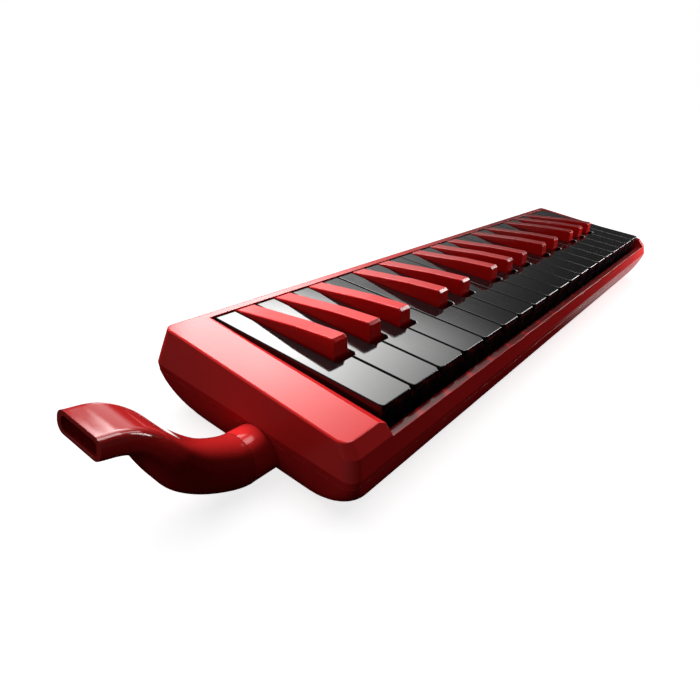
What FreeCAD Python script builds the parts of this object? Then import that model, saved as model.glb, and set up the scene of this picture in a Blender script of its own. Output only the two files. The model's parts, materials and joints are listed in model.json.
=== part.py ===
import FreeCAD, Part
# Thirty-two key melodica: a casing in two shells, a sounding chassis with reed
# cells, thirty-two rocking keys on one steel rod, a reed bank in a sealed wind
# chamber, a blow inlet with a push-fit mouthpiece and a condensation valve.
# Millimetres, +Z up, X along the instrument with the mouthpiece at -X, -Y
# towards the player; the origin is the middle of the flat underside.
import math
import os
import Sketcher
from FreeCAD import Placement, Rotation, Vector

os.makedirs("parts", exist_ok=True)
doc = FreeCAD.newDocument("melodica")

# ------------------------------------------------------------ driving sizes
# Names ending in _x, _y or _z are places, the others are sizes.
DIMENSIONS = {
    # keyboard
    "key_pitch": 20.5, "first_key_x": -188.3, "key_gap": 0.9, "tail_gap": 0.7,
    "key_top_z": 38.0, "key_bottom_z": 29.5, "key_front_y": -43.0, "key_rear_y": 45.4,
    "notch_y": -13.4, "notch_chamfer": 1.5, "skirt_bottom_z": 25.0, "skirt_wall": 3.0,
    "head_wall": 2.0, "head_roof": 2.6, "front_round": 2.4,
    "sharp_rise": 7.75, "sharp_front_y": -10.1, "sharp_top_front_y": -8.9,
    "sharp_width": 10.4, "sharp_nose_width": 9.0, "sharp_top_front_width": 8.0,
    "sharp_top_rear_width": 9.9, "sharp_crown": 0.8,
    # lever and axle
    "axle_y": 18.0, "axle_z": 26.5, "rod_radius": 1.5, "bore_radius": 1.56,
    "hub_width": 7.0, "pad_y": 30.2, "pad_length": 9.0, "pad_width": 8.4,
    "pad_thick": 1.98, "seat_z": 21.0,
    # casing
    "half_length": 214.0, "half_depth": 52.5, "crease_z": 23.7, "seam_z": 20.5,
    "seam_gap": 0.06, "rail_z": 30.1, "cap_front_z": 34.7, "cap_rear_z": 38.3,
    "wall": 2.2, "open_left_x": -189.4, "open_right_x": 202.4,
    "open_front_y": -46.7, "open_rear_y": 46.3,
    # chassis and wind chamber
    "chassis_bottom_z": 14.5, "roof_z": 19.0, "chassis_left_x": -189.2,
    "chassis_right_x": 200.6, "chassis_front_y": -26.5, "chassis_rear_y": 43.0,
    "deck_front_y": -44.5, "deck_bottom_z": 16.0, "deck_top_z": 19.0,
    "cell_front_y": -17.0, "cell_rear_y": 34.0, "gasket_thick": 0.8,
    "tray_floor_z": 6.0, "tray_wall": 2.0, "flange_thick": 1.7,
    "plate_thick": 1.0, "reed_thick": 0.3,
    # inlet and mouthpiece
    "blow_y": -8.2, "blow_z": 13.6, "neck_radius": 10.0, "neck_bore_radius": 7.2,
    "neck_end_x": -222.4, "spigot_radius": 7.0,
    # condensation valve
    "drain_x": 180.0, "drain_z": 10.3,
}


class Size:
    """A number together with the sheet expression it comes from."""

    def __init__(self, value, text=None):
        self.value = float(value)
        self.text = text or "(%.6f)" % value

    @staticmethod
    def of(other):
        return other if isinstance(other, Size) else Size(other)

    def __add__(self, other):
        other = Size.of(other)
        return Size(self.value + other.value, "(%s + %s)" % (self.text, other.text))

    __radd__ = __add__

    def __sub__(self, other):
        other = Size.of(other)
        return Size(self.value - other.value, "(%s - %s)" % (self.text, other.text))

    def __rsub__(self, other):
        return Size.of(other) - self

    def __mul__(self, other):
        other = Size.of(other)
        return Size(self.value * other.value, "(%s * %s)" % (self.text, other.text))

    def __truediv__(self, other):
        other = Size.of(other)
        return Size(self.value / other.value, "(%s / %s)" % (self.text, other.text))

    def __neg__(self):
        return Size(-self.value, "(0 - %s)" % self.text)


class Dims:
    """The driving sizes, one Size for each alias of the sheet."""


sheet = doc.addObject("Spreadsheet::Sheet", "Dims")
for row, (alias, number) in enumerate(DIMENSIONS.items(), start=1):
    sheet.set("A%d" % row, alias)
    sheet.set("B%d" % row, str(number))
    sheet.setAlias("B%d" % row, alias)
    setattr(Dims, alias, Size(number, "Dims." + alias))
doc.recompute()

NODES = {}  # label of each exported piece, and its object
CUTS = []   # features that must remove material


def keep(obj, label):
    obj.Label = label
    NODES[label] = obj


# ------------------------------------------------------------ binding helpers
def bind(obj, prop, size):
    """Bind a property to the sheet; sizes that don't come from it stay plain."""
    if isinstance(size, Size) and "Dims" in size.text:
        obj.setExpression(prop, size.text)


def set_size(obj, prop, size):
    setattr(obj, prop, Size.of(size).value)
    bind(obj, prop, size)


def place(obj, position, rotation):
    obj.Placement = Placement(Vector(*(Size.of(size).value for size in position)), rotation)
    for axis, size in zip("xyz", position):
        bind(obj, "Placement.Base." + axis, size)


def constrain(sketch, kind, targets, size):
    constraint = Sketcher.Constraint(kind, *targets, Size.of(size).value)
    index = sketch.addConstraint(constraint)
    bind(sketch, "Constraints[%d]" % index, size)


# ------------------------------------------------------------ sketch helpers
def new_body(name):
    return doc.addObject("PartDesign::Body", name)


def new_sketch(body, name, plane, offset):
    """Offset runs along the plane's normal: +Z for XY, +X for YZ, but -Y for XZ."""
    sketch = body.newObject("Sketcher::SketchObject", name)
    role = plane + "_Plane"
    datum = next(feature for feature in body.Origin.OriginFeatures if feature.Role == role)
    sketch.AttachmentSupport = [(datum, "")]
    sketch.MapMode = "FlatFace"
    sketch.AttachmentOffset = Placement(Vector(0, 0, Size.of(offset).value), Rotation())
    bind(sketch, "AttachmentOffset.Base.z", offset)
    return sketch


def outline(body, name, plane, offset, points):
    """A sketched polygon with every corner tied to the sheet."""
    sketch = new_sketch(body, name, plane, offset)
    corners = [Vector(Size.of(a).value, Size.of(b).value, 0) for a, b in points]
    count = len(corners)
    for i in range(count):
        sketch.addGeometry(Part.LineSegment(corners[i], corners[(i + 1) % count]), False)
    for i in range(count):
        sketch.addConstraint(Sketcher.Constraint("Coincident", i, 2, (i + 1) % count, 1))
    for i, (across, up) in enumerate(points):
        constrain(sketch, "DistanceX", (-1, 1, i, 1), across)
        constrain(sketch, "DistanceY", (-1, 1, i, 1), up)
    return sketch


def rect(left, right, low, high):
    return [(left, low), (right, low), (right, high), (left, high)]


def circles(body, name, plane, offset, centres, radius):
    """A sketch of equal circles."""
    sketch = new_sketch(body, name, plane, offset)
    for across, up in centres:
        centre = Vector(Size.of(across).value, Size.of(up).value, 0)
        circle = Part.Circle(centre, Vector(0, 0, 1), Size.of(radius).value)
        index = sketch.addGeometry(circle, False)
        constrain(sketch, "DistanceX", (-1, 1, index, 3), across)
        constrain(sketch, "DistanceY", (-1, 1, index, 3), up)
        constrain(sketch, "Radius", (index,), radius)
    return sketch


def draw_rounded(sketch, left, right, low, high, radius):
    """A rectangle with quarter-round corners; even geometry is lines, odd is arcs."""
    x0, x1, y0, y1, r = (Size.of(size).value for size in (left, right, low, high, radius))
    # each side's start and end, then the centre and start angle of the arc after it
    sides = [
        ((x0 + r, y0), (x1 - r, y0), (x1 - r, y0 + r), 270),
        ((x1, y0 + r), (x1, y1 - r), (x1 - r, y1 - r), 0),
        ((x1 - r, y1), (x0 + r, y1), (x0 + r, y1 - r), 90),
        ((x0, y1 - r), (x0, y0 + r), (x0 + r, y0 + r), 180),
    ]
    for start, end, centre, angle in sides:
        sketch.addGeometry(Part.LineSegment(Vector(*start, 0), Vector(*end, 0)), False)
        circle = Part.Circle(Vector(*centre, 0), Vector(0, 0, 1), r)
        arc = Part.ArcOfCircle(circle, math.radians(angle), math.radians(angle + 90))
        sketch.addGeometry(arc, False)
    for line in (0, 2, 4, 6):
        arc = line + 1
        sketch.addConstraint(Sketcher.Constraint("Tangent", line, 2, arc, 1))
        sketch.addConstraint(Sketcher.Constraint("Tangent", arc, 2, (line + 2) % 8, 1))
    for line, kind in ((0, "Horizontal"), (2, "Vertical"), (4, "Horizontal"), (6, "Vertical")):
        sketch.addConstraint(Sketcher.Constraint(kind, line))
    for arc in (3, 5, 7):
        sketch.addConstraint(Sketcher.Constraint("Equal", 1, arc))
    constrain(sketch, "Radius", (1,), radius)
    constrain(sketch, "DistanceY", (-1, 1, 0, 1), low)
    constrain(sketch, "DistanceX", (-1, 1, 2, 1), right)
    constrain(sketch, "DistanceY", (-1, 1, 4, 1), high)
    constrain(sketch, "DistanceX", (-1, 1, 6, 1), left)


# ------------------------------------------------------------ body features
def pad(body, sketch, length, name, along=True):
    """Adds along the sketch normal, or against it."""
    feature = body.newObject("PartDesign::Pad", name)
    feature.Profile = sketch
    set_size(feature, "Length", length)
    feature.Reversed = not along


def pocket(body, sketch, depth, name, along=True):
    """Cuts along the sketch normal, or against it."""
    feature = body.newObject("PartDesign::Pocket", name)
    feature.Profile = sketch
    set_size(feature, "Length", depth)
    feature.Reversed = along
    CUTS.append(feature)


def loft(body, name, sections, ruled, add=True):
    kind = "AdditiveLoft" if add else "SubtractiveLoft"
    feature = body.newObject("PartDesign::" + kind, name)
    feature.Profile = sections[0]
    feature.Sections = sections[1:]
    feature.Ruled = ruled
    if not add:
        CUTS.append(feature)


def dress(body, kind, name, wanted, size):
    """Fillet or chamfer the edges of the tip whose bounding boxes are wanted."""
    doc.recompute()
    base = body.Tip
    edges = ["Edge%d" % i for i, edge in enumerate(base.Shape.Edges, start=1)
             if wanted(edge.BoundBox)]
    feature = body.newObject("PartDesign::" + kind, name)
    feature.Base = (base, edges)
    set_size(feature, "Radius" if kind == "Fillet" else "Size", size)
    return feature


# ------------------------------------------------------------ primitive helpers
def box(name, left, right, front, rear, bottom, top):
    solid = doc.addObject("Part::Box", name)
    set_size(solid, "Length", Size.of(right) - left)
    set_size(solid, "Width", Size.of(rear) - front)
    set_size(solid, "Height", Size.of(top) - bottom)
    place(solid, (left, front, bottom), Rotation())
    return solid


AXES = {
    "x": Rotation(Vector(0, 1, 0), 90),
    "-y": Rotation(Vector(1, 0, 0), 90),
    "z": Rotation(),
}


def cylinder(name, axis, radius, length, x, y, z):
    """Starts at (x, y, z) and runs along axis for length."""
    solid = doc.addObject("Part::Cylinder", name)
    set_size(solid, "Radius", radius)
    set_size(solid, "Height", length)
    place(solid, (x, y, z), AXES[axis])
    return solid


def upright_holes(name, places, radius, length, bottom):
    """Numbered vertical cylinders to cut with, one at each (x, y)."""
    return [cylinder("%s%d" % (name, n), "z", radius, length, x, y, bottom)
            for n, (x, y) in enumerate(places)]


def fuse(name, shapes):
    fusion = doc.addObject("Part::MultiFuse", name)
    fusion.Shapes = shapes
    return fusion


def group(name, shapes):
    """Loose pieces kept side by side as separate solids."""
    compound = doc.addObject("Part::Compound", name)
    compound.Links = shapes
    return compound


def cut(name, base, tool):
    result = doc.addObject("Part::Cut", name)
    result.Base = base
    result.Tool = tool
    return result


# ------------------------------------------------------------ keyboard
PAD_GAP = 0.02  # between the chassis top and the soft pads


def keyboard_layout():
    """Rows of label, tail centre and shape, lengths in key pitches from the first key.

    The shape of a natural is its left edge and the widths notched from its tail
    at the left and right; a sharp has none.  The tails of a run of naturals and
    the sharps between them share the run's width equally.
    """
    runs = [("fgab", 3), ("cde", 4), ("fgab", 4), ("cde", 5), ("fgab", 5), ("c", 6)]
    rows = []
    start = 0
    for letters, octave in runs:
        count = len(letters)
        share = count / (2 * count - 1)
        for i, letter in enumerate(letters):
            tail_left, tail_right = 2 * i * share, (2 * i + 1) * share
            label = "key_%s%d" % (letter, octave)
            shape = (start + i, tail_left - i, (i + 1) - tail_right)
            rows.append((label, start + (tail_left + tail_right) / 2.0, shape))
            if i < count - 1:
                rows.append((label + "_sharp", start + tail_right + share / 2.0, None))
        start += count
    return rows


def key_x(pitches):
    return Dims.first_key_x + Dims.key_pitch * pitches


KEYS = keyboard_layout()
TAILS = [key_x(tail) for label, tail, shape in KEYS]


def lever_rib(body, middle, stop_leg):
    """Web under the tail: spring bearing, hub on the rod and the foot over the pad."""
    side = middle - Dims.hub_width / 2
    top = Dims.key_bottom_z + 0.6 - Dims.axle_z
    foot_front = Dims.pad_y - Dims.pad_length / 2 - Dims.axle_y
    foot_rear = Dims.pad_y + Dims.pad_length / 2 - Dims.axle_y
    foot_z = Dims.seat_z + PAD_GAP + Dims.pad_thick - Dims.axle_z
    web = [
        (-28.0, top), (-10.0, 1.0), (-4.2, -2.2), (-3.0, -3.6), (3.0, -3.6),
        (foot_front - 0.6, foot_z + 0.8), (foot_front, foot_z), (foot_rear, foot_z),
        (foot_rear, top),
    ]
    pad(body, outline(body, "WebOutline", "YZ", side, web), Dims.hub_width, "Web")
    if stop_leg:
        front = Dims.sharp_front_y - Dims.axle_y
        leg_bottom = -1.5
        leg = [(front + 0.1, top), (front + 0.1, leg_bottom),
               (front + 2.1, leg_bottom), (front + 3.6, top)]
        pad(body, outline(body, "StopLegOutline", "YZ", side, leg), Dims.hub_width, "StopLeg")
    overrun = 4
    bore = circles(body, "BoreCircle", "YZ", middle + Dims.hub_width / 2 + overrun,
                   [(0, 0)], Dims.bore_radius)
    pocket(body, bore, Dims.hub_width + 2 * overrun, "AxleBore", along=False)


def natural_key(label, tail, left_edge, cut_left, cut_right):
    """Drawn from its left edge in X and from the axle in Y and Z."""
    body = new_body(label + "_lever")
    pitch, chamfer = Dims.key_pitch, Dims.notch_chamfer
    left, right = Dims.key_gap / 2, pitch - Dims.key_gap / 2
    front, rear = Dims.key_front_y - Dims.axle_y, Dims.key_rear_y - Dims.axle_y
    notch = Dims.notch_y - Dims.axle_y
    top, bottom = Dims.key_top_z - Dims.axle_z, Dims.key_bottom_z - Dims.axle_z

    points = [(left, front), (right, front)]
    if cut_right > 0:
        side = pitch - pitch * cut_right - Dims.tail_gap / 2
        points += [(right, notch), (side + chamfer, notch), (side, notch + chamfer), (side, rear)]
    else:
        points += [(right, rear)]
    if cut_left > 0:
        side = pitch * cut_left + Dims.tail_gap / 2
        points += [(side, rear), (side, notch + chamfer), (side - chamfer, notch), (left, notch)]
    else:
        points += [(left, rear)]
    block = outline(body, "TopOutline", "XY", top, points)
    pad(body, block, top - bottom, "KeyBlock", along=False)

    overlap = 1.0
    skirt_rear = front + Dims.skirt_wall
    skirt = outline(body, "SkirtOutline", "XY", bottom + overlap,
                    rect(left, right, front, skirt_rear))
    skirt_height = Dims.key_bottom_z - Dims.skirt_bottom_z + overlap
    pad(body, skirt, skirt_height, "FrontSkirt", along=False)

    # hollow under the playing surface
    wall = Dims.head_wall
    hollow = outline(body, "HollowOutline", "XY", bottom,
                     rect(left + wall, right - wall, skirt_rear, notch - wall))
    pocket(body, hollow, top - Dims.head_roof - bottom, "HeadHollow")
    lever_rib(body, pitch * (tail - left_edge), stop_leg=False)

    def front_corner(bb):
        on_front = abs(bb.YMin - front.value) < 1e-3 and abs(bb.YMax - front.value) < 1e-3
        return on_front and bb.ZLength > 8 and bb.XLength < 1e-3

    def on_top(bb):
        return abs(bb.ZMin - top.value) < 1e-3 and abs(bb.ZMax - top.value) < 1e-3

    dress(body, "Fillet", "FrontCorners", front_corner, Dims.front_round)
    dress(body, "Fillet", "TopEdge", on_top, 0.5)
    place(body, (key_x(left_edge), Dims.axle_y, Dims.axle_z), Rotation())
    return body


def sharp_key(label, tail):
    """Drawn from its centre line in X and from the axle in Y and Z."""
    body = new_body(label + "_lever")
    front, rear = Dims.sharp_front_y - Dims.axle_y, Dims.key_rear_y - Dims.axle_y
    middle = front + 22.0  # where the nose has widened to full width
    top = Dims.key_top_z - Dims.axle_z
    half, nose = Dims.sharp_width / 2, Dims.sharp_nose_width / 2

    # block below the level of the natural keys, a little narrower at its nose
    block = outline(body, "BlockOutline", "XY", top,
                    [(-nose, front), (nose, front), (half, middle), (half, rear),
                     (-half, rear), (-half, middle)])
    pad(body, block, Dims.key_top_z - Dims.key_bottom_z, "KeyBlock", along=False)

    # the wedge above: full height at the front, nearly flush at the rear,
    # crowned along its length, the sides leaning in a little
    top_rear, top_front = Dims.sharp_top_rear_width / 2, Dims.sharp_top_front_width / 2
    top_middle = top_rear * 0.45 + top_front * 0.55
    run_left = (rear - middle).value / (rear - front).value
    middle_z = top + Dims.sharp_rise * run_left + Dims.sharp_crown

    def across(name, y, low_half, top_half, z):
        low_z = top - 0.2
        return outline(body, name, "XZ", -y, [(-low_half, low_z), (low_half, low_z),
                                              (top_half, z), (-top_half, z)])

    loft(body, "Wedge", [
        across("WedgeRear", rear, half, top_rear, top + 0.15),
        across("WedgeMiddle", middle, half, top_middle, middle_z),
        across("WedgeFront", front, nose, top_front, top + Dims.sharp_rise + 0.1),
    ], ruled=True)

    # front face leaning back slightly
    top_front_y = Dims.sharp_top_front_y - Dims.axle_y
    lean_top = top + Dims.sharp_rise * 1.6 - 0.24
    lean = outline(body, "FrontLean", "YZ", 20, [
        (front - 3, top + 0.4), (front, top + 0.4),
        (top_front_y + (top_front_y - front) * 0.6, lean_top), (front - 3, lean_top)])
    pocket(body, lean, 40, "LeanCut", along=False)
    lever_rib(body, Size(0.0), stop_leg=True)

    def top_front_edge(bb):
        return (bb.ZMin > top.value + 4.0 and bb.XLength > 4
                and bb.YMax < top_front_y.value + 1.5)

    def leaning_edge(bb):
        side = bb.XLength < 2.0 and bb.ZMax > top.value + 5.0
        return (side and bb.ZMin > top.value - 0.3 and bb.ZLength > 0.2
                and bb.YMin < top_front_y.value + 3.0)

    dress(body, "Chamfer", "FrontEdge", top_front_edge, 1.2)
    dress(body, "Fillet", "SoftEdges", leaning_edge, 0.6)
    place(body, (key_x(tail), Dims.axle_y, Dims.axle_z), Rotation())
    return body


def soft_pad(label, centre):
    """The pad on the foot of the lever, a solid of its own."""
    half_width, half_length = Dims.pad_width / 2, Dims.pad_length / 2
    bottom = Dims.seat_z + PAD_GAP
    return box(label + "_seal", centre - half_width, centre + half_width,
               Dims.pad_y - half_length, Dims.pad_y + half_length,
               bottom, bottom + Dims.pad_thick)


def make_keys():
    for label, tail, shape in KEYS:
        body = natural_key(label, tail, *shape) if shape else sharp_key(label, tail)
        keep(group(label + "_set", [body, soft_pad(label, key_x(tail))]), label)


# ------------------------------------------------------------ casing shells
# screw posts, (x, y); the right-hand pair stands higher on the curved hull
LEFT_POSTS = [(-199.0, -30.0), (-199.0, 30.0)]
RIGHT_POSTS = [(205.2, -24.0), (205.2, 24.0)]
DECK_POSTS = [(-62.0, -35.5), (66.0, -35.5)]
POST_FLOOR, RIGHT_POST_FLOOR = 1.6, 7.2
POST_RADIUS = 4.0
PILOT_RADIUS = 1.3


def shell_loft(body, name, stations, ruled, add=True):
    """Lofts through level sections inset from the casing's greatest outline.

    Station columns: name, z, inset at both ends, at the front, at the rear, corner radius.
    """
    half_x, half_y = Dims.half_length, Dims.half_depth
    sections = []
    for station, z, ends, front, rear, radius in stations:
        sketch = new_sketch(body, station, "XY", z)
        draw_rounded(sketch, -half_x + ends, half_x - ends, -half_y + front, half_y - rear, radius)
        sections.append(sketch)
    loft(body, name, sections, ruled, add)


def neck_cutout(body):
    hole = circles(body, "NeckHole", "YZ", -230, [(Dims.blow_y, Dims.blow_z)],
                   Dims.neck_radius + 0.12)
    pocket(body, hole, 26, "NeckCutout")


def make_upper_casing():
    body = new_body("upper_casing")
    crease = Dims.crease_z
    shell_loft(body, "CasingOuter", [
        ("SeamOutline", Dims.seam_z, 0.5, 0.5, 0.5, 4.6),
        ("CreaseOutline", crease, 0.0, 0.0, 0.0, 5.0),
        ("ShoulderOutline", crease + 6.9, 2.0, 2.6, 1.0, 4.6),
        ("CrownOutline", crease + 16.3, 4.92, 13.65, 2.27, 4.2),
    ], ruled=True)

    # the top rises from cap_front_z at y = -reach to cap_rear_z at y = reach
    reach, beyond = 45.0, 70.0
    extra = (Dims.cap_rear_z - Dims.cap_front_z) / (2 * reach) * (beyond - reach)
    slope = outline(body, "TopSlope", "YZ", 260, [
        (-beyond, Dims.cap_front_z - extra), (beyond, Dims.cap_rear_z + extra),
        (beyond, 60.0), (-beyond, 60.0)])
    pocket(body, slope, 520, "SlopedTop", along=False)

    left, right = Dims.open_left_x, Dims.open_right_x
    well = outline(body, "KeyOpening", "XY", 60,
                   rect(left, right, Dims.open_front_y, Dims.open_rear_y))
    pocket(body, well, 60, "KeyWell", along=False)
    rail = outline(body, "RailLine", "XY", Dims.rail_z,
                   rect(left, right, -beyond, Dims.open_front_y + 6.0))
    pocket(body, rail, 30, "LowFrontRail")
    hollow = outline(body, "LeftCapHollow", "XY", Dims.seam_z - 1,
                     rect(-208.2, left - 2.5, -42.0, 45.5))
    pocket(body, hollow, 12.4, "CapHollow")

    # sloping shoulder beside the lowest key, opening out towards the player
    shoulder_left, shoulder_right, shoulder_top = -200.0, -187.0, 50.0
    sections = []
    for name, offset, left_z, right_z in (("ShoulderFront", 56, 36.5, 32.6),
                                          ("ShoulderRear", -46, 41.2, 37.3)):
        sections.append(outline(body, name, "XZ", offset, [
            (shoulder_left, left_z), (shoulder_right, right_z),
            (shoulder_right, shoulder_top), (shoulder_left, shoulder_top)]))
    loft(body, "CapShoulder", sections, ruled=True, add=False)

    bosses = circles(body, "BossOutline", "XY", Dims.seam_z, LEFT_POSTS, POST_RADIUS)
    pad(body, bosses, 11.6, "CapBosses")
    neck_cutout(body)
    pilots = circles(body, "PilotHoles", "XY", Dims.seam_z - 1,
                     LEFT_POSTS + RIGHT_POSTS, PILOT_RADIUS)
    pocket(body, pilots, 9.5, "ScrewPilots")

    def crown_edge(bb):
        rise = Dims.cap_rear_z.value - Dims.cap_front_z.value
        slope_z = Dims.cap_front_z.value + rise * (bb.YMax + reach) / (2 * reach)
        outside = bb.XMin < -205 or bb.XMax > 205 or bb.YMin > 49
        return abs(bb.ZMax - slope_z) < 0.05 and outside and bb.ZMin > 33

    base = body.Tip
    crown = dress(body, "Fillet", "CrownEdge", crown_edge, 1.0)
    doc.recompute()
    # guards against a crown fillet that can't be built: the edge then stays sharp
    if "Invalid" in crown.State or crown.Shape.isNull() or not crown.Shape.isValid():
        body.removeObject(crown)
        doc.removeObject(crown.Name)
        body.Tip = base
    keep(body, "upper_casing")


def make_lower_casing():
    body = new_body("lower_casing")
    rim = Dims.seam_z - Dims.seam_gap
    shell_loft(body, "HullOuter", [
        ("RimOutline", rim, 0.4, 0.4, 0.4, 4.6),
        ("WaistOutline", 13.5, 2.0, 1.9, 1.9, 7.0),
        ("BilgeOutline", 6.5, 4.7, 4.6, 4.6, 12.0),
        ("SoleOutline", 0.0, 9.5, 9.5, 9.5, 18.0),
    ], ruled=False)
    wall = Dims.wall
    shell_loft(body, "HullInner", [
        ("RimInside", Dims.seam_z + 0.2, wall + 0.4, wall + 0.5, wall + 0.5, 3.0),
        ("WaistInside", 13.5, wall + 2.1, wall + 2.1, wall + 2.1, 5.4),
        ("BilgeInside", 7.0, wall + 4.5, wall + 4.5, wall + 4.5, 10.0),
        ("SoleInside", wall + 0.1, wall + 8.0, wall + 8.2, wall + 8.2, 15.0),
    ], ruled=False, add=False)

    def post(sketch_name, name, centre, floor, top):
        sketch = circles(body, sketch_name, "XY", floor, [centre], POST_RADIUS)
        pad(body, sketch, top - floor, name)

    for n, centre in enumerate(LEFT_POSTS + RIGHT_POSTS):
        floor = POST_FLOOR if centre in LEFT_POSTS else RIGHT_POST_FLOOR
        post("PostOutline%d" % n, "ScrewPost%d" % n, centre, floor, rim)
    for n, centre in enumerate(DECK_POSTS):
        post("DeckPostOutline%d" % n, "DeckPost%d" % n, centre, POST_FLOOR,
             Dims.deck_bottom_z - 0.05)

    # head wells and shank ways, cut upwards from below the sole:
    # sketch name, z, centres, radius, depth, feature name
    for sketch_name, z, centres, radius, depth, name in (
            ("ScrewWells", -2, LEFT_POSTS + DECK_POSTS, 3.0, 6.0, "HeadWells"),
            ("EndScrewWells", -2, RIGHT_POSTS, 3.0, 11.0, "EndHeadWells"),
            ("ScrewWays", -3, LEFT_POSTS + RIGHT_POSTS + DECK_POSTS, 1.5, 30.0, "ShankWays")):
        pocket(body, circles(body, sketch_name, "XY", z, centres, radius), depth, name)
    neck_cutout(body)
    drain = circles(body, "DrainHole", "XZ", -60, [(Dims.drain_x, Dims.drain_z)], 4.9)
    pocket(body, drain, 18, "ButtonHole")
    keep(body, "lower_casing")


# ------------------------------------------------------------ inlet and mouthpiece
def inlet_opening(name, left, right):
    """The air way between the inlet neck and the wind chamber, to cut with."""
    return box(name, left, right, Dims.blow_y - 7.0, Dims.blow_y + 7.0, 7.9, 12.6)


def make_inlet_neck():
    y, z, end = Dims.blow_y, Dims.blow_z, Dims.neck_end_x
    tube = cylinder("NeckTube", "x", Dims.neck_radius, -200.0 - end, end, y, z)
    plenum = box("NeckPlenum", -203.6, -190.2, y - 10.0, y + 10.0, z - 9.2, 20.3)
    outer = fuse("NeckOuter", [tube, plenum])
    overrun = 1.0
    bore = cylinder("NeckBoreTool", "x", Dims.neck_bore_radius, -202.0 - end + overrun,
                    end - overrun, y, z)
    inside = box("PlenumInside", -202.6, -191.8, y - 8.2, y + 8.2, z - 7.6, 18.8)
    mouth = inlet_opening("PlenumMouth", -193.0, -189.0)
    keep(cut("InletNeck", outer, fuse("NeckVoid", [bore, inside, mouth])), "inlet_neck")


def make_inlet_seal():
    y = Dims.blow_y
    plate = box("InletSealBody", -190.15, -189.25, y - 9.0, y + 9.0, 6.2, 14.3)
    keep(cut("InletSeal", plate, inlet_opening("InletSealHole", -190.5, -189.0)), "inlet_seal")


# stations of the mouthpiece:
# x, z, half width, half height, corner radius, tilt in degrees, wall
STATIONS = [
    (-222.5, 13.60, 9.9, 9.9, 9.5, 0.0, 5.0),
    (-226.5, 14.4, 9.7, 9.7, 9.3, 12.0, 4.2),
    (-231.0, 16.2, 9.4, 9.4, 9.0, 22.0, 3.2),
    (-238.6, 20.2, 9.0, 8.9, 8.5, 28.0, 2.6),
    (-246.2, 26.4, 9.2, 7.9, 7.4, 46.0, 2.6),
    (-252.4, 34.5, 9.7, 6.4, 5.9, 56.0, 2.6),
    (-257.8, 43.0, 10.2, 4.9, 4.5, 48.0, 2.2),
    (-262.9, 48.2, 10.4, 4.0, 3.6, 29.0, 2.1),
    (-268.2, 50.5, 10.3, 3.7, 3.3, 15.0, 2.0),
    (-273.4, 51.6, 10.1, 3.5, 3.1, 9.0, 1.9),
]


def mouth_section(name, x, z, half_width, half_height, radius, tilt):
    """Rounded rectangle across the centre line, wide way along Y."""
    sketch = doc.addObject("Sketcher::SketchObject", name)
    draw_rounded(sketch, -half_width, half_width, -half_height, half_height, radius)
    sine, cosine = math.sin(math.radians(tilt)), math.cos(math.radians(tilt))
    turn = Rotation(Vector(0, 1, 0), Vector(sine, 0, cosine), Vector(cosine, 0, -sine), "ZXY")
    place(sketch, (x, Dims.blow_y, z), turn)
    return sketch


def mouth_loft(name, sections):
    solid = doc.addObject("Part::Loft", name)
    solid.Sections = sections
    solid.Solid = True
    solid.Ruled = False
    return solid


def blow_ring(name, prefix, outer, inner, x, length):
    """A ring round the blow axis."""
    y, z = Dims.blow_y, Dims.blow_z
    return cut(name, cylinder(prefix + "Out", "x", outer, length, x, y, z),
               cylinder(prefix + "In", "x", inner, length, x, y, z))


def make_mouthpiece():
    shell = mouth_loft("MouthpieceOuter", [mouth_section("Lip%d" % i, *station[:6])
                                           for i, station in enumerate(STATIONS)])
    inner = []
    for i, (x, z, half_width, half_height, radius, tilt, wall) in enumerate(STATIONS):
        # the air way runs out past both ends of the shell
        overrun = {0: 1.0, len(STATIONS) - 1: -1.0}.get(i, 0.0)
        way_height = max(half_height - wall, 2.2)
        way_radius = min(way_height - 0.35, max(radius - wall, 1.8))
        inner.append(mouth_section("Way%d" % i, x + overrun,
                                   z - overrun * math.tan(math.radians(tilt)),
                                   half_width - wall, way_height, way_radius, tilt))
    way = mouth_loft("MouthpieceWay", inner)
    y, z = Dims.blow_y, Dims.blow_z
    spigot = cylinder("Spigot", "x", Dims.spigot_radius, 16.9, -224.5, y, z)
    blank = fuse("MouthpieceBlank", [shell, spigot])
    groove = blow_ring("SpigotGroove", "Groove", 7.6, 6.05, -213.0, 2.1)
    bore = cylinder("SpigotBore", "x", 4.9, 18.0, -224.6, y, z)
    void = fuse("MouthpieceVoid", [way, groove, bore])
    keep(cut("Mouthpiece", blank, void), "mouthpiece")
    keep(blow_ring("SealRing", "Ring", 7.16, 6.1, -212.9, 1.9), "mouthpiece_seal_ring")


# ------------------------------------------------------------ chassis
# left, right, front, rear
CHASSIS_PLAN = (Dims.chassis_left_x, Dims.chassis_right_x,
                Dims.chassis_front_y, Dims.chassis_rear_y)
TRAY_LEFT, TRAY_RIGHT, TRAY_FRONT, TRAY_REAR = -189.2, 198.0, -22.6, 39.2
TRAY_INSIDE = (TRAY_LEFT + Dims.tray_wall, TRAY_RIGHT - Dims.tray_wall,
               TRAY_FRONT + Dims.tray_wall, TRAY_REAR - Dims.tray_wall)
GASKET_BOTTOM = Dims.chassis_bottom_z - Dims.gasket_thick
FLANGE_BOTTOM = GASKET_BOTTOM - Dims.flange_thick

# middles of the posts that carry the rod, in key pitches; the end ones are thinner
AXLE_POSTS = [0.0707, 16.0 / 7.0, 4.0, 5.2, 7.0, 7.0 + 16.0 / 7.0,
              11.0, 12.2, 14.0, 14.0 + 16.0 / 7.0, 18.0, 18.918]
AXLE_POST_HALF, END_POST_HALF = 1.5, 0.9

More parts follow.
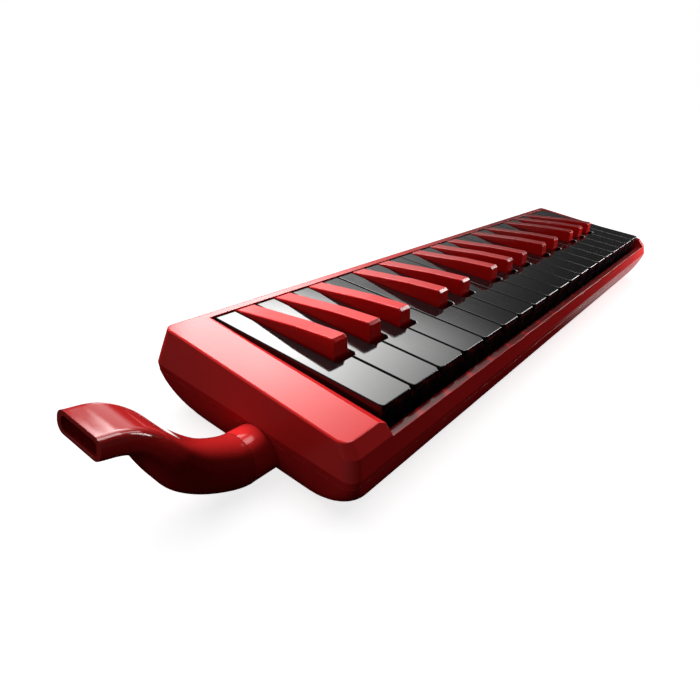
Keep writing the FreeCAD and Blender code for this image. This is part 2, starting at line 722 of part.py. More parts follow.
# screw places, (x, y)
PLATE_SCREWS = [(x, y) for y in (-18.2, 35.1) for x in (-184.8, -90.0, 2.0, 11.5, 100.0, 193.0)]
CHAMBER_SCREWS = [(-184.0 + 54.5 * i, y) for i in range(8) for y in (-24.75, 41.3)]
COMB_Y = -4.5
COMB_SCREWS = [(key_x(pitches), COMB_Y) for pitches in (0.5715, 4.0, 7.0, 11.0, 14.0, 18.0)]


def make_chassis():
    left, right, front, _ = CHASSIS_PLAN
    bottom, seat = Dims.chassis_bottom_z, Dims.seat_z
    deck = box("ChassisDeck", *CHASSIS_PLAN, bottom, seat)
    front_deck = box("ChassisFrontDeck", left, right, Dims.deck_front_y, front + 1.0,
                     Dims.deck_bottom_z, Dims.deck_top_z)
    posts = []
    for n, pitches in enumerate(AXLE_POSTS):
        centre = key_x(pitches)
        half = END_POST_HALF if n in (0, len(AXLE_POSTS) - 1) else AXLE_POST_HALF
        posts.append(box("AxlePost%d" % n, centre - half, centre + half,
                         Dims.axle_y - 2.6, Dims.axle_y + 2.6, seat - 0.5, Dims.axle_z + 2.55))
    solid = fuse("ChassisSolid", [deck, front_deck] + posts)

    # one reed cell under each tail, with an air hole up to the pad
    cell_half, hole_half, hole_reach, overrun = 4.7, 2.6, 3.0, 0.5
    voids = []
    for n, tail in enumerate(TAILS):
        voids.append(box("Cell%d" % n, tail - cell_half, tail + cell_half,
                         Dims.cell_front_y, Dims.cell_rear_y, bottom - overrun, Dims.roof_z))
        voids.append(box("AirHole%d" % n, tail - hole_half, tail + hole_half,
                         Dims.pad_y - hole_reach, Dims.pad_y + hole_reach,
                         Dims.roof_z - overrun, seat + overrun))
    voids.append(cylinder("AxleWay", "x", Dims.rod_radius + 0.03, 400.0, -195.0,
                          Dims.axle_y, Dims.axle_z))
    # pilots: name, places, radius, length, bottom z
    for pilots in (("PlatePilot", PLATE_SCREWS, 0.95, 5.2, 14.0),
                   ("ChamberPilot", CHAMBER_SCREWS, 1.05, 5.2, 14.0),
                   ("CombPilot", COMB_SCREWS, 0.8, 3.0, seat - 2.4),
                   ("DeckPilot", DECK_POSTS, PILOT_RADIUS, 2.2, 15.5)):
        voids += upright_holes(*pilots)
    keep(cut("KeyChassis", solid, fuse("ChassisVoids", voids)), "key_chassis")


def make_gasket(flange_holes):
    top = Dims.chassis_bottom_z
    gap = 0.01
    gasket = box("GasketSheet", *CHASSIS_PLAN, GASKET_BOTTOM + gap, top - gap)
    window = box("GasketWindow", *TRAY_INSIDE, GASKET_BOTTOM - 1, top + 1)
    voids = fuse("GasketVoids", [window] + flange_holes)
    keep(cut("ChamberGasket", gasket, voids), "chamber_gasket")


def make_chamber_cover(flange_holes):
    floor = Dims.tray_floor_z
    flange = box("TrayFlange", *CHASSIS_PLAN, FLANGE_BOTTOM, GASKET_BOTTOM)
    tray = box("TrayBody", TRAY_LEFT, TRAY_RIGHT, TRAY_FRONT, TRAY_REAR, floor, GASKET_BOTTOM)
    ribs = []
    for n in range(6):
        rib_left = -150.0 + 60.0 * n
        ribs.append(box("TrayRib%d" % n, rib_left, rib_left + 1.6, TRAY_FRONT, TRAY_REAR,
                        floor - 0.6, floor + 0.5))
    solid = fuse("TraySolid", [flange, tray] + ribs)
    hollow = box("TrayHollow", *TRAY_INSIDE, floor + 1.6, GASKET_BOTTOM + 1)
    inlet_way = inlet_opening("TrayInletWay", -190.0, TRAY_INSIDE[0] + 1.0)
    drain_way = cylinder("TrayDrainWay", "-y", 1.9, 6.0, Dims.drain_x, TRAY_REAR + 1.5,
                         Dims.drain_z)
    voids = fuse("TrayVoids", [hollow, inlet_way, drain_way] + flange_holes)
    keep(cut("AirChamberCover", solid, voids), "air_chamber_cover")


# ------------------------------------------------------------ reeds
PLATE_BOTTOM = Dims.chassis_bottom_z - Dims.plate_thick


def make_reeds():
    """Two plates of sixteen reeds, shortening and narrowing towards +X."""
    longest, shortest, widest, narrowing = 40.0, 15.0, 4.2, 1.9
    root_y, slot_rear, tip_gap, side_gap = 30.4, 26.0, 0.4, 0.1
    face_gap = 0.01
    plate_top = Dims.chassis_bottom_z - face_gap
    reed_top = PLATE_BOTTOM - face_gap
    per_plate = 16
    last = len(TAILS) - 1
    plate_holes = upright_holes("PlateHole", PLATE_SCREWS, 1.05, 4.0, 11.5)
    # name, number of the first reed, left, right
    for name, first, left, right in (("low", 0, -187.1, 5.6),
                                     ("high", per_plate, 8.6, 195.9)):
        slots, strips = [], []
        for n in range(first, first + per_plate):
            centre = TAILS[n]
            tip_y = root_y - longest * (shortest / longest) ** (n / last)
            half = (widest - narrowing * n / last) / 2
            slots.append(box("ReedSlot%d" % n, centre - half - side_gap, centre + half + side_gap,
                             tip_y - tip_gap, slot_rear, PLATE_BOTTOM - 1, plate_top + 1))
            strips.append(box("Reed%d" % n, centre - half, centre + half, tip_y, root_y,
                              reed_top - Dims.reed_thick, reed_top))
        plate = box("ReedPlate_" + name, left, right, -20.5, 37.0, PLATE_BOTTOM, plate_top)
        holes = [hole for hole, (x, y) in zip(plate_holes, PLATE_SCREWS) if left < x < right]
        voids = fuse("ReedPlateVoids_" + name, slots + holes)
        keep(cut("ReedPlateCut_" + name, plate, voids), "reed_plate_" + name)
        keep(group("ReedBank_" + name, strips), "reeds_" + name)


# ------------------------------------------------------------ screws
def screws(name, places, seat, head_radius, head_thick, shank_radius, shank_length):
    """Cross-slotted screws pointing up, heads just under the seat."""
    bottom = seat - 0.02 - head_thick
    overlap, slot_half = 0.2, 0.35
    slot_reach = head_radius * 0.62
    made = []
    for n, (x, y) in enumerate(places):
        label = "%s%d" % (name, n)
        blank = fuse(label + "Blank", [
            cylinder(label + "Head", "z", head_radius, head_thick, x, y, bottom),
            cylinder(label + "Shank", "z", shank_radius, shank_length + overlap, x, y,
                     bottom + head_thick - overlap)])
        recess = fuse(label + "Recess", [
            box(label + slot, x - half_x, x + half_x, y - half_y, y + half_y,
                bottom - 0.5, bottom + head_thick * 0.5)
            for slot, half_x, half_y in (("SlotA", slot_reach, slot_half),
                                         ("SlotB", slot_half, slot_reach))])
        made.append(cut(label + "Cross", blank, recess))
    return made


def make_screws():
    plate = screws("PlateScrew", PLATE_SCREWS, PLATE_BOTTOM, head_radius=2.0, head_thick=0.9,
                   shank_radius=0.9, shank_length=4.6)
    keep(group("ReedPlateScrews", plate), "reed_plate_screws")
    chamber = screws("ChamberScrew", CHAMBER_SCREWS, FLANGE_BOTTOM, head_radius=2.0,
                     head_thick=1.2, shank_radius=1.0, shank_length=6.0)
    keep(group("ChamberScrews", chamber), "chamber_screws")
    casing = []
    # name, places, seat z, shank length
    for name, places, seat, length in (("CasingScrew", LEFT_POSTS, 4.02, 23.0),
                                       ("EndScrew", RIGHT_POSTS, 9.0, 17.5),
                                       ("DeckScrew", DECK_POSTS, 4.02, 12.5)):
        casing += screws(name, places, seat, head_radius=2.7, head_thick=1.8,
                         shank_radius=1.2, shank_length=length)
    keep(group("CasingScrews", casing), "casing_screws")


# ------------------------------------------------------------ rod, springs, felts
def make_rod():
    rod = cylinder("KeyAxleRod", "x", Dims.rod_radius, 388.0, -187.6, Dims.axle_y, Dims.axle_z)
    keep(rod, "key_axle_rod")


# side view of one spring finger, (y, z)
FINGER = [(-1.8, 21.04), (0.0, 21.04), (8.6, 26.12), (9.8, 26.12),
          (9.8, 26.48), (8.4, 26.48), (-0.1, 21.41), (-1.8, 21.41)]
FINGER_WIDTH = 3.0


def make_spring_comb():
    body = new_body("key_spring_comb")
    strip = outline(body, "StripOutline", "XY", Dims.seat_z + 0.02,
                    rect(Dims.chassis_left_x + 1.0, Dims.chassis_right_x - 1.0,
                         COMB_Y - 3.0, COMB_Y + 3.0))
    pad(body, strip, 0.4, "Strip")
    for n, tail in enumerate(TAILS):
        leaf = outline(body, "Leaf%d" % n, "YZ", tail - FINGER_WIDTH / 2, FINGER)
        pad(body, leaf, FINGER_WIDTH, "Finger%d" % n)
    holes = circles(body, "StripHoles", "XY", Dims.seat_z - 1, COMB_SCREWS, 1.0)
    pocket(body, holes, 3.0, "ScrewHoles")
    keep(body, "key_spring_comb")


def make_comb_screws():
    made = []
    for n, (x, y) in enumerate(COMB_SCREWS):
        head = cylinder("CombScrewHead%d" % n, "z", 2.0, 1.1, x, y, Dims.seat_z + 0.44)
        shank = cylinder("CombScrewShank%d" % n, "z", 0.75, 2.8, x, y, Dims.seat_z - 2.2)
        made.append(fuse("CombScrew%d" % n, [head, shank]))
    keep(group("SpringCombScrews", made), "spring_comb_screws")


def make_felt(name, label, front, rear, floor, top):
    """A strip along the chassis, resting just above the floor."""
    keep(box(name, Dims.chassis_left_x + 0.5, Dims.chassis_right_x - 0.5, front, rear,
             floor + 0.01, top), label)


# ------------------------------------------------------------ condensation valve
def make_drain_button():
    x, z = Dims.drain_x, Dims.drain_z
    cap_rear = 52.0
    cap = cylinder("ButtonCap", "-y", 4.6, 5.6, x, cap_rear, z)
    stem = cylinder("ButtonStem", "-y", 0.9, 11.4, x, 48.0, z)
    rounded_cap = doc.addObject("Part::Fillet", "ButtonCapRound")
    rounded_cap.Base = cap
    doc.recompute()
    rim_round = 0.8
    rounded_cap.Edges = [(i, rim_round, rim_round)
                         for i, edge in enumerate(cap.Shape.Edges, start=1)
                         if abs(edge.BoundBox.YMin - cap_rear) < 1e-6
                         and abs(edge.BoundBox.YMax - cap_rear) < 1e-6]
    keep(fuse("DrainButton", [rounded_cap, stem]), "drain_button")


def make_drain_seal():
    x, z = Dims.drain_x, Dims.drain_z
    hole = cylinder("DrainSealHole", "-y", 0.92, 4.0, x, 38.0, z)
    disc = cylinder("DrainSealDisc", "-y", 2.55, 1.5, x, TRAY_INSIDE[3] - 0.02, z)
    keep(cut("DrainValveSeal", disc, hole), "drain_valve_seal")


def make_drain_spring():
    body = new_body("drain_spring")
    coil_radius, wire_radius, start_y = 1.3, 0.18, 40.0
    wire = circles(body, "WireRound", "XY", Dims.drain_z, [(coil_radius, start_y)], wire_radius)
    wire.AttachmentOffset = Placement(Vector(Dims.drain_x.value, 0, Dims.drain_z.value),
                                      Rotation())
    bind(wire, "AttachmentOffset.Base.x", Dims.drain_x)
    doc.recompute()
    coil = body.newObject("PartDesign::AdditiveHelix", "Coil")
    coil.Profile = wire
    coil.ReferenceAxis = (wire, ["V_Axis"])
    coil.Mode = 0  # by pitch and height
    coil.Pitch = 1.55
    coil.Height = 5.6
    coil.LeftHanded = False
    coil.Reversed = False
    doc.recompute()
    keep(body, "drain_spring")


# ------------------------------------------------------------ build
make_keys()
make_upper_casing()
make_lower_casing()
make_inlet_neck()
make_inlet_seal()
make_mouthpiece()
make_chassis()
cover_holes = upright_holes("GasketHole", CHAMBER_SCREWS, 1.15, 6.0, 10.0)
make_gasket(cover_holes)
make_chamber_cover(cover_holes)
make_reeds()
make_screws()
make_rod()
make_spring_comb()
make_comb_screws()
make_felt("FrontStopFelt", "front_stop_felt", Dims.key_front_y - 0.6, Dims.key_front_y + 6.4,
          Dims.deck_top_z, Dims.deck_top_z + 1.3)
make_felt("SharpStopFelt", "sharp_stop_felt", Dims.sharp_front_y - 1.5,
          Dims.sharp_front_y + 2.4, Dims.seat_z, Dims.seat_z + 0.8)
make_drain_button()
make_drain_seal()
make_drain_spring()
doc.recompute()

# ------------------------------------------------------------ check and export
for obj in doc.Objects:
    bad = [state for state in obj.State if state in ("Invalid", "Error")]
    if bad:
        raise RuntimeError("%s (%s) is %s" % (obj.Name, obj.Label, bad))
# a pocket that misses the solid raises no error, so volumes are compared
for feature in CUTS:
    if not feature.Shape.Volume < feature.BaseFeature.Shape.Volume - 0.05:
        raise RuntimeError("%s removed nothing" % feature.Label)
for label, obj in NODES.items():
    if obj.Shape.isNull() or not obj.Shape.isValid() or not obj.Shape.Solids:
        raise RuntimeError(label + " has no valid solid")
for label, obj in NODES.items():
    obj.Shape.exportStep("parts/%s.step" % label)
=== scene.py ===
"""Studio picture of a 32-key melodica: glossy red shell, black naturals, red sharps, curved mouthpiece.

The keyboard runs along X with the mouthpiece at the far +X end. The player's side faces -Y and
+Z is up. The camera looks along the keys from above the near -X end.
"""
import bpy
import json
import math
from mathutils import Matrix, Vector


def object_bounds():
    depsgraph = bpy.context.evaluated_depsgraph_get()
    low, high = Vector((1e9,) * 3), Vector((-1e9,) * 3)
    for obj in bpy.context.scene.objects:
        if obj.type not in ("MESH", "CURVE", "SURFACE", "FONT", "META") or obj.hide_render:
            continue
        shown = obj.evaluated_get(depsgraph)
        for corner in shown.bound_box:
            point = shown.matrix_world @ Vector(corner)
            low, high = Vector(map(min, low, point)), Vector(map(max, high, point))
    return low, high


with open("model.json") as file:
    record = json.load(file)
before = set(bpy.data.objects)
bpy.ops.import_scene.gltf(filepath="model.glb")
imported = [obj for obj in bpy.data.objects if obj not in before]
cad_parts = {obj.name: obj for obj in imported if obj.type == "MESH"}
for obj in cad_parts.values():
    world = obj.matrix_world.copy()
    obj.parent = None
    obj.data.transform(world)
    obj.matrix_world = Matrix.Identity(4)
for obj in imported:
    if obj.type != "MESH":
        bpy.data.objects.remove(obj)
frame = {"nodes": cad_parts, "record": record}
cad_lo, cad_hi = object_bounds()
nodes = frame["nodes"]
scene = bpy.context.scene


# ---------------------------------------------------------------- node helpers
class Graph:
    """A node tree, emptied and ready to be built."""

    def __init__(self, tree):
        self.tree = tree
        tree.nodes.clear()

    def add(self, kind, **props):
        node = self.tree.nodes.new(kind)
        for key, value in props.items():
            setattr(node, key, value)
        return node

    def put(self, node, key, value):
        """Link a socket to an input, or set the input to a plain value."""
        if isinstance(value, bpy.types.NodeSocket):
            self.tree.links.new(value, node.inputs[key])
        else:
            node.inputs[key].default_value = value

    def math(self, operation, a, b=0.0, clamp=False):
        node = self.add("ShaderNodeMath", operation=operation, use_clamp=clamp)
        self.put(node, 0, a)
        self.put(node, 1, b)
        return node.outputs[0]

    def fold(self, operation, first, *rest):
        """Apply one operation along a list, from left to right."""
        for value in rest:
            first = self.math(operation, first, value)
        return first

    def scaled(self, value, by):
        return self.math("MULTIPLY", value, by)

    def remap(self, value, over, to=(0.0, 1.0), smooth=False):
        node = self.add("ShaderNodeMapRange")
        if smooth:
            node.interpolation_type = "SMOOTHSTEP"
        for i, item in enumerate((value, *over, *to)):
            self.put(node, i, item)
        return node.outputs[0]


class Surface(Graph):
    """A new material with a Principled shader, textured in object coordinates."""

    def __init__(self, name):
        self.mat = bpy.data.materials.new(name)
        self.mat.use_nodes = True
        super().__init__(self.mat.node_tree)
        output = self.add("ShaderNodeOutputMaterial")
        self.bsdf = self.add("ShaderNodeBsdfPrincipled")
        self.put(output, 0, self.bsdf.outputs[0])
        self.place = self.add("ShaderNodeTexCoord").outputs["Object"]

    def set(self, key, value):
        self.put(self.bsdf, key, value)

    def mapping(self, scale=(1, 1, 1), rot=(0, 0, 0), loc=(0, 0, 0)):
        node = self.add("ShaderNodeMapping")
        self.put(node, 0, self.place)
        self.put(node, "Scale", scale)
        self.put(node, "Rotation", rot)
        self.put(node, "Location", loc)
        return node.outputs[0]

    def noise(self, scale, detail=2.0, rough=0.5, vec=None, distortion=0.0):
        node = self.add("ShaderNodeTexNoise")
        self.put(node, "Vector", vec or self.place)
        self.put(node, "Scale", scale)
        self.put(node, "Detail", detail)
        self.put(node, "Roughness", rough)
        self.put(node, "Distortion", distortion)
        return node.outputs["Fac"]

    def mix(self, factor, a, b):
        node = self.add("ShaderNodeMix", data_type="RGBA", blend_type="MIX", clamp_factor=True)
        self.put(node, 0, factor)
        for key, color in ((6, a), (7, b)):
            is_socket = isinstance(color, bpy.types.NodeSocket)
            self.put(node, key, color if is_socket else (*color, 1.0))
        return node.outputs[2]

    def bump(self, height, strength, distance, normal=None):
        node = self.add("ShaderNodeBump")
        self.put(node, "Strength", strength)
        self.put(node, "Distance", distance)
        self.put(node, "Height", height)
        if normal is not None:
            self.put(node, "Normal", normal)
        return node.outputs[0]

    def bevel(self, radius):
        node = self.add("ShaderNodeBevel", samples=4)
        self.put(node, "Radius", radius)
        return node.outputs[0]

    def true_normal(self):
        return self.add("ShaderNodeNewGeometry").outputs["True Normal"]

    def edge_mask(self, radius):
        """1 on sharp edges, 0 on flat ground."""
        dot = self.add("ShaderNodeVectorMath", operation="DOT_PRODUCT")
        self.put(dot, 0, self.bevel(radius))
        self.put(dot, 1, self.true_normal())
        bend = self.math("SUBTRACT", 1.0, dot.outputs["Value"])
        return self.remap(bend, over=(0.02, 0.25))

    def scratches(self, scale, angle, seed):
        """Thin hairlines in patches: stretched noise cut off close to its middle value."""
        across, along = scale, scale * 0.02
        vec = self.mapping(scale=(across, along, along), rot=(0.2, 0.1, angle), loc=(seed, seed, 0))
        streak = self.noise(scale=1.0, detail=0.0, vec=vec)
        off_middle = self.math("ABSOLUTE", self.math("SUBTRACT", streak, 0.5))
        patch_vec = self.mapping(loc=(seed * 3 + 4, 1, 2))
        patch = self.remap(self.noise(scale=38.0, detail=1.0, vec=patch_vec), over=(0.5, 0.66))
        line = self.remap(off_middle, over=(0.0, 0.015), to=(1.0, 0.0))
        return self.math("MULTIPLY", line, patch)


# ---------------------------------------------------------------- materials
def gloss_plastic(name, base, deep, edge, rough, coat, spec,
                  edge_mix=0.25, bevel=0.00035, peel=0.03, dust=0.35):
    """Injection-moulded gloss: slight colour flow, orange-peel skin, smudges and hairlines.

    base and deep are the two flow colours, edge the colour of worn edges and specks.
    """
    g = Surface(name)
    flow = g.noise(scale=14.0, detail=3.0, rough=0.55)
    color = g.mix(g.remap(flow, over=(0.35, 0.7)), deep, base)
    speck = g.remap(g.noise(scale=2600.0, detail=0.0), over=(0.76, 0.8))
    color = g.mix(g.scaled(speck, by=0.10), color, edge)
    wear = g.edge_mask(radius=bevel * 2.2)
    worn = g.math("MULTIPLY", wear, g.remap(g.noise(scale=240.0), over=(0.42, 0.62)))
    g.set("Base Color", g.mix(g.scaled(worn, by=edge_mix), color, edge))

    smudge = g.remap(g.noise(scale=34.0, detail=4.0, rough=0.6), over=(0.45, 0.72))
    hairs = (g.scratches(scale=1500.0, angle=0.5, seed=0.0),
             g.scratches(scale=1200.0, angle=-0.9, seed=7.0))
    fine = g.noise(scale=900.0, rough=0.6)
    marked = g.fold(
        "ADD", rough,
        g.scaled(smudge, by=0.05 * (0.5 + dust)),
        g.scaled(g.math("MAXIMUM", *hairs), by=0.10),
        g.scaled(g.math("SUBTRACT", fine, 0.5), by=0.03))
    g.set("Roughness", g.math("ADD", marked, g.scaled(worn, by=0.18), clamp=True))
    g.set("IOR", 1.5)
    g.set("Specular IOR Level", spec)
    g.set("Coat Weight", coat)
    g.set("Coat Roughness", g.math("ADD", 0.035, g.scaled(smudge, by=0.05)))

    skin = g.bump(g.noise(scale=420.0), strength=peel, distance=0.0004, normal=g.bevel(bevel))
    skin = g.bump(g.math("MAXIMUM", *hairs), strength=0.05, distance=0.00005, normal=skin)
    g.set("Normal", skin)
    g.set("Coat Normal", skin)
    return g


def natural_black():
    """Gloss black, dulled on the key faces that look towards -Y."""
    spec, coat = 0.5, 0.15
    g = gloss_plastic("natural_black", base=(0.0045, 0.0045, 0.005), deep=(0.003, 0.003, 0.0035),
                      edge=(0.08, 0.08, 0.085), rough=0.07, coat=coat, spec=spec,
                      edge_mix=0.3, bevel=0.0003, peel=0.010, dust=0.2)
    axes = g.add("ShaderNodeSeparateXYZ")
    g.put(axes, 0, g.true_normal())
    keep = g.remap(axes.outputs[1], over=(-0.98, -0.85), to=(0.15, 1.0))
    g.set("Specular IOR Level", g.scaled(keep, by=spec))
    g.set("Coat Weight", g.scaled(keep, by=coat))
    return g


def matte_black():
    g = Surface("chassis_black")
    grain = g.noise(scale=1400.0, detail=3.0, rough=0.6)
    tone = g.noise(scale=60.0, detail=3.0)
    g.set("Base Color", g.mix(tone, (0.012, 0.012, 0.013), (0.022, 0.022, 0.023)))
    g.set("Roughness", g.remap(grain, over=(0.3, 0.7), to=(0.5, 0.7)))
    g.set("Normal", g.bump(grain, strength=0.35, distance=0.0003, normal=g.bevel(radius=0.0003)))
    return g


def chamber_plastic():
    g = Surface("chamber_ivory")
    tone = g.noise(scale=25.0, detail=3.0)
    g.set("Base Color", g.mix(tone, (0.62, 0.60, 0.54), (0.70, 0.69, 0.64)))
    gloss = g.noise(scale=500.0, detail=3.0)
    g.set("Roughness", g.remap(gloss, over=(0.3, 0.7), to=(0.32, 0.48)))
    g.set("Subsurface Weight", 0.05)
    g.set("Normal", g.bump(g.noise(scale=900.0), strength=0.15, distance=0.0002,
                           normal=g.bevel(radius=0.0004)))
    return g


def rubber():
    g = Surface("seal_rubber")
    tone = g.noise(scale=300.0, detail=3.0)
    g.set("Base Color", g.mix(tone, (0.014, 0.014, 0.014), (0.035, 0.034, 0.033)))
    g.set("Roughness", g.remap(g.noise(scale=700.0), over=(0.3, 0.7), to=(0.62, 0.85)))
    grain = g.noise(scale=1600.0, detail=3.0)
    g.set("Normal", g.bump(grain, strength=0.3, distance=0.0002))
    return g


def felt():
    g = Surface("wool_felt")
    vec = g.mapping(scale=(900.0, 2600.0, 1500.0), rot=(0.3, 0.2, 0.7))
    fibre = g.noise(scale=1.0, detail=4.0, rough=0.7, vec=vec, distortion=1.6)
    g.set("Base Color", g.mix(fibre, (0.10, 0.012, 0.014), (0.30, 0.05, 0.05)))
    g.set("Roughness", 0.95)
    g.set("Sheen Weight", 0.6)
    g.set("Sheen Roughness", 0.4)
    g.set("Normal", g.bump(fibre, strength=0.8, distance=0.0004))
    return g


def metal(name, base, rough, aniso, tarnish, tarnish_mix, brush=(2400.0, 40.0, 2400.0)):
    """Brushed metal with tarnish patches; brush is the streak scale along x, y and z."""
    g = Surface(name)
    streak = g.noise(scale=1.0, detail=3.0, rough=0.6, vec=g.mapping(scale=brush))
    old = g.remap(g.noise(scale=120.0, detail=4.0, rough=0.6), over=(0.5, 0.75))
    g.set("Base Color", g.mix(g.scaled(old, by=tarnish_mix), base, tarnish))
    g.set("Metallic", 1.0)
    brushed = g.remap(streak, over=(0.2, 0.8), to=(rough * 0.7, rough * 1.3))
    g.set("Roughness", g.math("ADD", brushed, g.scaled(old, by=0.15)))
    g.set("Anisotropic", aniso)
    g.set("Normal", g.bump(streak, strength=0.12, distance=0.0001, normal=g.bevel(radius=0.00015)))
    return g


SLOT_SURFACE = {
    "casing": gloss_plastic(
        "casing_red", base=(0.55, 0.018, 0.018), deep=(0.49, 0.014, 0.015),
        edge=(0.85, 0.10, 0.10), rough=0.10, coat=0.0, spec=0.24),
    "sharp_key": gloss_plastic(
        "sharp_red", base=(0.55, 0.006, 0.006), deep=(0.49, 0.005, 0.005),
        edge=(0.85, 0.16, 0.14), rough=0.12, coat=0.0, spec=0.36, edge_mix=0.3, bevel=0.0003),
    "mouthpiece": gloss_plastic(
        "mouthpiece_red", base=(0.40, 0.013, 0.013), deep=(0.34, 0.010, 0.010),
        edge=(0.8, 0.10, 0.10), rough=0.08, coat=0.1, spec=0.4, peel=0.015),
    "natural_key": natural_black(),
    "chassis": matte_black(),
    "chamber": chamber_plastic(),
    "seal": rubber(),
    "felt": felt(),
    "reed_plate": metal(
        "reed_plate_aluminium", base=(0.78, 0.79, 0.80), rough=0.32, aniso=0.5,
        tarnish=(0.5, 0.5, 0.48), tarnish_mix=0.25),
    "reed": metal(
        "reed_brass", base=(0.83, 0.62, 0.26), rough=0.28, aniso=0.4,
        tarnish=(0.42, 0.26, 0.09), tarnish_mix=0.4, brush=(60.0, 2400.0, 2400.0)),
    "spring": metal(
        "spring_steel", base=(0.62, 0.61, 0.58), rough=0.25, aniso=0.4,
        tarnish=(0.34, 0.31, 0.26), tarnish_mix=0.25),
    "screw": metal(
        "screw_zinc", base=(0.68, 0.67, 0.62), rough=0.3, aniso=0.0,
        tarnish=(0.5, 0.44, 0.3), tarnish_mix=0.35, brush=(1500.0, 1500.0, 1500.0)),
}
slot_of = {part["node"]: part["material_slot"] for part in frame["record"]["subparts"]}
for name, obj in nodes.items():
    obj.data.materials.clear()
    obj.data.materials.append(SLOT_SURFACE[slot_of[name]].mat)


# ---------------------------------------------------------------- floor
FLOOR_SIZE, FLOOR_GAP = 60.0, 0.0002


def floor_surface():
    """Pale floor that glows a little, so that it reads as white."""
    g = Surface("floor_pale")
    tone = g.noise(scale=3.0, detail=4.0)
    g.set("Base Color", g.mix(tone, (0.78, 0.78, 0.78), (0.82, 0.82, 0.82)))
    grain = g.noise(scale=90.0, detail=3.0)
    g.set("Roughness", g.remap(grain, over=(0.3, 0.7), to=(0.7, 0.85)))
    g.set("Specular IOR Level", 0.0)
    glow = g.noise(scale=3.0, detail=4.0)
    g.set("Emission Color", g.mix(glow, (0.985, 0.985, 0.985), (1.0, 1.0, 1.0)))
    g.set("Emission Strength", 0.80)
    return g


bpy.ops.mesh.primitive_plane_add(size=FLOOR_SIZE, location=(0, 0, cad_lo.z - FLOOR_GAP))
floor = bpy.context.object
floor.name = "floor"
floor.data.materials.append(floor_surface().mat)
floor.visible_glossy = False
floor.visible_diffuse = False

# ---------------------------------------------------------------- world
# strengths of the shapes seen in the gloss
SOFTBOX, STRIP, WINDOW, SKY = 10.0, 13.0, 6.5, 4.2
REAR, BELOW, RISE = 0.10, 0.35, 1.8
FILL = 0.06  # diffuse fill


def reflections(w, path):
    """Brightness of what the gloss sees, by ray direction x, y, z and azimuth in degrees.

    Azimuth is measured from +X towards +Y.
    """
    axes = w.add("ShaderNodeSeparateXYZ")
    w.put(axes, 0, w.add("ShaderNodeTexCoord").outputs["Generated"])
    x, y, z = axes.outputs
    az = w.scaled(w.math("ARCTAN2", y, x), by=180.0 / math.pi)

    def ramp(value, over, to=(0.0, 1.0)):
        return w.remap(value, over, to, smooth=True)

    def band(value, rise, fall):
        return ramp(value, rise), ramp(value, fall, to=(1.0, 0.0))

    def product(*factors):
        return w.fold("MULTIPLY", *factors)

    # softbox: growing from the far +X end round to the back, brightest above about 27 degrees
    turn_start, turn_width, turn_power = 11.0, 32.0, 1.8
    turn = w.math("MULTIPLY", w.math("SUBTRACT", az, turn_start), 1.0 / turn_width, clamp=True)
    turn = w.math("POWER", turn, turn_power)
    edge = (math.sin(math.radians(21.0)), math.sin(math.radians(27.5)))
    lift = ramp(z, over=edge, to=(0.12, 1.0))
    low = ramp(z, over=(0.02, 0.16))
    ceiling = product(ramp(z, over=(0.55, 0.66), to=(1.0, 0.72)),
                      ramp(z, over=(0.70, 0.80), to=(1.0, 0.08)))
    behind = product(ramp(x, over=(-0.45, 0.15), to=(0.12, 1.0)),
                     ramp(az, over=(52.5, 57.0), to=(1.0, 0.12)))
    softbox = w.scaled(product(turn, lift, low, ceiling, behind), by=SOFTBOX)

    # narrow panel at the far end, towards -Y: the bright line on the chamfers, first bounce only
    strip = w.scaled(product(*band(az, rise=(-21.0, -19.0), fall=(-14.0, -11.0)),
                             *band(z, rise=(0.04, 0.10), fall=(0.54, 0.58))), by=STRIP)
    strip = product(strip, w.math("LESS_THAN", path.outputs["Glossy Depth"], 1.5))

    # overhead window: a wide pane and a narrow one with a bar between them
    wide = product(*band(y, rise=(-0.022, -0.010), fall=(0.20, 0.26)))
    narrow = product(*band(y, rise=(-0.16, -0.145), fall=(-0.052, -0.040)))
    window = w.scaled(product(w.math("ADD", wide, narrow), ramp(z, over=(0.72, 0.76)),
                              ramp(x, over=(0.30, 0.36))), by=WINDOW)

    # pane at the far end, for the curved neck and mouthpiece
    sky = w.scaled(product(*band(az, rise=(-9.0, -6.0), fall=(6.0, 9.0)),
                           ramp(z, over=(0.36, 0.42))), by=SKY)

    # faint base light, a glow towards -X, one below the far end and an upright one at the back
    rear = product(ramp(w.scaled(x, by=-1.0), over=(0.35, 0.65)),
                   *band(z, rise=(-0.6, -0.3), fall=(0.3, 0.5)))
    below = product(*band(az, rise=(-16.0, -9.0), fall=(0.0, 5.0)),
                    *band(z, rise=(-0.42, -0.30), fall=(-0.06, 0.0)))
    upright = product(*band(az, rise=(49.0, 52.0), fall=(57.0, 61.0)),
                      *band(z, rise=(-0.62, -0.50), fall=(0.14, 0.24)))
    base = w.fold("ADD", ramp(z, over=(-0.1, 0.05), to=(0.0, 0.045)), w.scaled(rear, by=REAR),
                  w.scaled(below, by=BELOW), w.scaled(upright, by=RISE))
    fill = ramp(z, over=(-0.3, 0.6), to=(FILL * 0.1, FILL * 1.3))
    return w.fold("ADD", softbox, strip, window, sky, base), fill


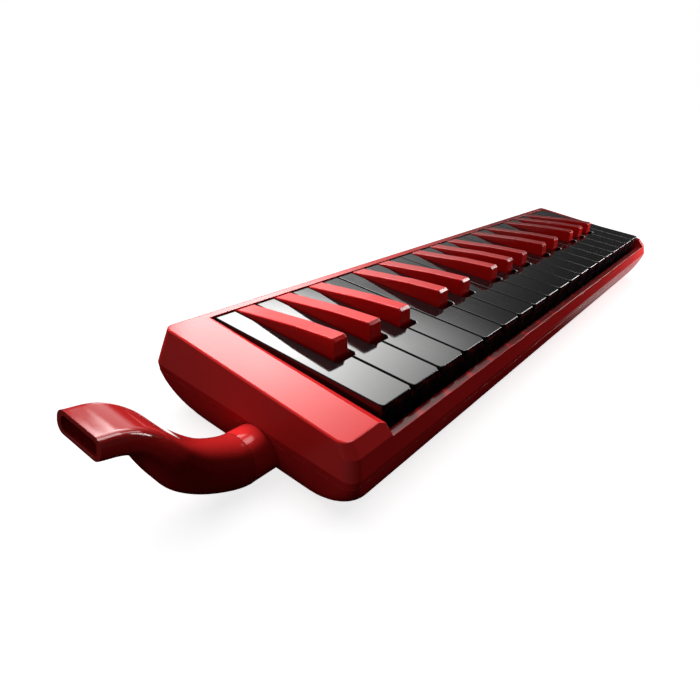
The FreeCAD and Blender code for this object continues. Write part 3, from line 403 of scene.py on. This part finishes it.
def build_world():
    """Glossy rays see the studio, diffuse rays a soft fill and the camera plain white."""
    world = bpy.data.worlds.new("studio")
    scene.world = world
    world.use_nodes = True
    w = Graph(world.node_tree)
    output = w.add("ShaderNodeOutputWorld")
    path = w.add("ShaderNodeLightPath")
    glow, fill = reflections(w, path)

    def background(strength, color=(1, 1, 1, 1)):
        node = w.add("ShaderNodeBackground")
        w.put(node, 0, color)
        w.put(node, 1, strength)
        return node.outputs[0]

    def choose(ray, otherwise, then):
        node = w.add("ShaderNodeMixShader")
        for i, socket in enumerate((path.outputs[ray], otherwise, then)):
            w.put(node, i, socket)
        return node.outputs[0]

    studio = background(glow, color=(1.0, 0.99, 0.985, 1))
    unseen = choose("Is Glossy Ray", otherwise=background(fill), then=studio)
    w.put(output, 0, choose("Is Camera Ray", otherwise=unseen, then=background(1.0)))


build_world()

# ---------------------------------------------------------------- lights
product_set = bpy.data.collections.new("lit_product")
for obj in nodes.values():
    product_set.objects.link(obj)
floor_set = bpy.data.collections.new("lit_floor")
floor_set.objects.link(floor)


def add_light(name, kind, towards, receivers=product_set, at=(0, 0, 0), **settings):
    """Add a light; towards is the direction from what it lights back to the light."""
    light = bpy.data.lights.new(name, kind)
    for key, value in settings.items():
        setattr(light, key, value)
    ob = bpy.data.objects.new(name, light)
    scene.collection.objects.link(ob)
    ob.location = at
    ob.rotation_euler = Vector(towards).to_track_quat("Z", "Y").to_euler()
    ob.visible_glossy = False
    ob.light_linking.receiver_collection = receivers


add_light("side_soft", "SUN", towards=(-0.95, 0.05, 0.3), energy=0.5, angle=math.radians(60.0))
add_light("key_base", "SUN", towards=(0.10, 0.74, 0.67), energy=1.1, angle=math.radians(24.0))
add_light("floor_wash", "SUN", towards=(0.05, 0.15, 1.0), receivers=floor_set,
          energy=1.1, angle=math.radians(75.0))

# key from high behind, strongest on the near end and fading towards the far end
KEY_AT, KEY_AIM = Vector((-0.03, 0.42, 0.45)), Vector((-0.19, 0.0, 0.04))
add_light("key_high", "SPOT", towards=KEY_AT - KEY_AIM, at=KEY_AT, energy=33.0,
          spot_size=math.radians(43.0), spot_blend=1.0, shadow_soft_size=0.12)

# small panel in front of the far end
FRONT_AT, FRONT_AIM = Vector((0.34, -0.17, 0.03)), Vector((0.19, -0.05, 0.02))
add_light("front_far", "AREA", towards=FRONT_AT - FRONT_AIM, at=FRONT_AT,
          shape="RECTANGLE", size=0.12, size_y=0.08, energy=1.3)

# ---------------------------------------------------------------- camera and render
CAMERA_AT = (-0.31966, -0.11852, 0.13986)
HEADING, TILT_DOWN, ROLL = (math.radians(a) for a in (32.557, 31.203, 8.842))

cam_data = bpy.data.cameras.new("view")
cam = bpy.data.objects.new("view", cam_data)
scene.collection.objects.link(cam)
forward = Vector((math.cos(TILT_DOWN) * math.cos(HEADING),
                  math.cos(TILT_DOWN) * math.sin(HEADING),
                  -math.sin(TILT_DOWN)))
level = forward.cross(Vector((0, 0, 1))).normalized()
upward = level.cross(forward)
right = level * math.cos(ROLL) + upward * math.sin(ROLL)
up = -level * math.sin(ROLL) + upward * math.cos(ROLL)
turned = Matrix((right, up, -forward)).transposed().to_4x4()
cam.matrix_world = Matrix.Translation(CAMERA_AT) @ turned
cam_data.sensor_width = 36.0
cam_data.lens = 27.0675771
cam_data.shift_x = -0.0227842857
cam_data.shift_y = 0.0421328571
cam_data.clip_start = 0.005
cam_data.clip_end = 100
scene.camera = cam
scene.view_settings.view_transform = "Standard"
scene.view_settings.look = "None"
scene.cycles.max_bounces = 10
scene.cycles.use_denoising = True
